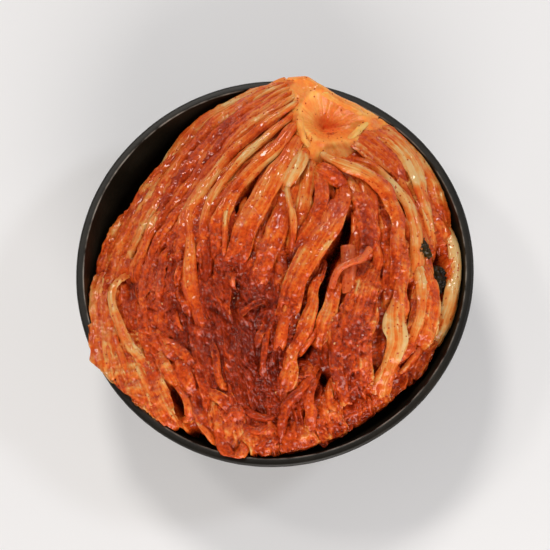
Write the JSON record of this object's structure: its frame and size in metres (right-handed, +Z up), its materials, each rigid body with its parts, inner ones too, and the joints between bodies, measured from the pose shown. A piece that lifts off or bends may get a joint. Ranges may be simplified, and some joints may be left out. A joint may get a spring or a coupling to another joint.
{
  "type": "kimchi in a bowl",
  "caption": "Whole head of red-sauced napa cabbage kimchi lying in a flared black stoneware bowl, its cored stump on the rim and its leaves fanned out over the bowl.",
  "frame": {"origin": "on the table, under the middle of the bowl", "axes": "+Z up; +Y from the bowl's middle towards the cabbage's stump, so the leaf ends lie towards -Y; +X completes the frame"},
  "size_m": [0.22, 0.22, 0.096],
  "materials": {
    "stoneware": "black matt-glazed stoneware with a satin sheen, worn paler along the inner edge of the rim",
    "cabbage": "wet translucent salted cabbage leaf, orange ribs and red leaf stained by chilli paste",
    "radish": "wet radish stained red by chilli paste"
  },
  "bodies": {
    "root": {"bowl": "stoneware", "cabbage_head": "cabbage", "radish_stick": "radish", "radish_shred": "radish"}
  },
  "joints": []
}
